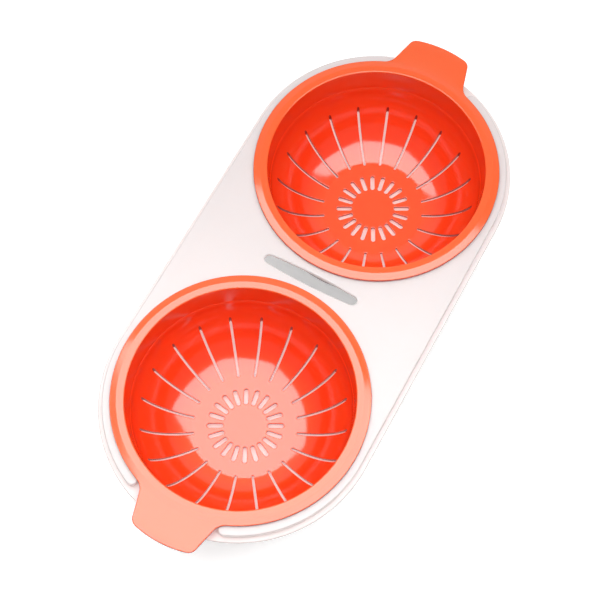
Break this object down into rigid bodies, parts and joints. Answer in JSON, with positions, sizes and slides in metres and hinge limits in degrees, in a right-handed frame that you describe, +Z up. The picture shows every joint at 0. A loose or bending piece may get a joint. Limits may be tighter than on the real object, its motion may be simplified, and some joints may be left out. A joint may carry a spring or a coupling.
{
  "type": "egg cooker",
  "caption": "Microwave egg cooker: a long white water tray with two bowl wells, and a slotted orange drain cup with a finger tab that lifts out of each well.",
  "frame": {"origin": "on the table, under the middle of the tray", "axes": "+X along the tray from the left cup to the right cup, +Y across the tray, +Z up"},
  "size_m": [0.2372, 0.1092, 0.046],
  "materials": {
    "tray": "glossy white moulded plastic",
    "cup": "glossy orange-red moulded plastic, slightly translucent"
  },
  "bodies": {
    "tray": {"water_tray": "tray"},
    "left_cup": {"drain_cup_left": "cup"},
    "right_cup": {"drain_cup_right": "cup"}
  },
  "joints": [
    {"name": "left_cup_lift", "type": "slide", "parent": "tray", "child": "left_cup", "axis": [0, 0, 1], "range_m": [0, 0.06]},
    {"name": "right_cup_lift", "type": "slide", "parent": "tray", "child": "right_cup", "axis": [0, 0, 1], "range_m": [0, 0.06]}
  ]
}
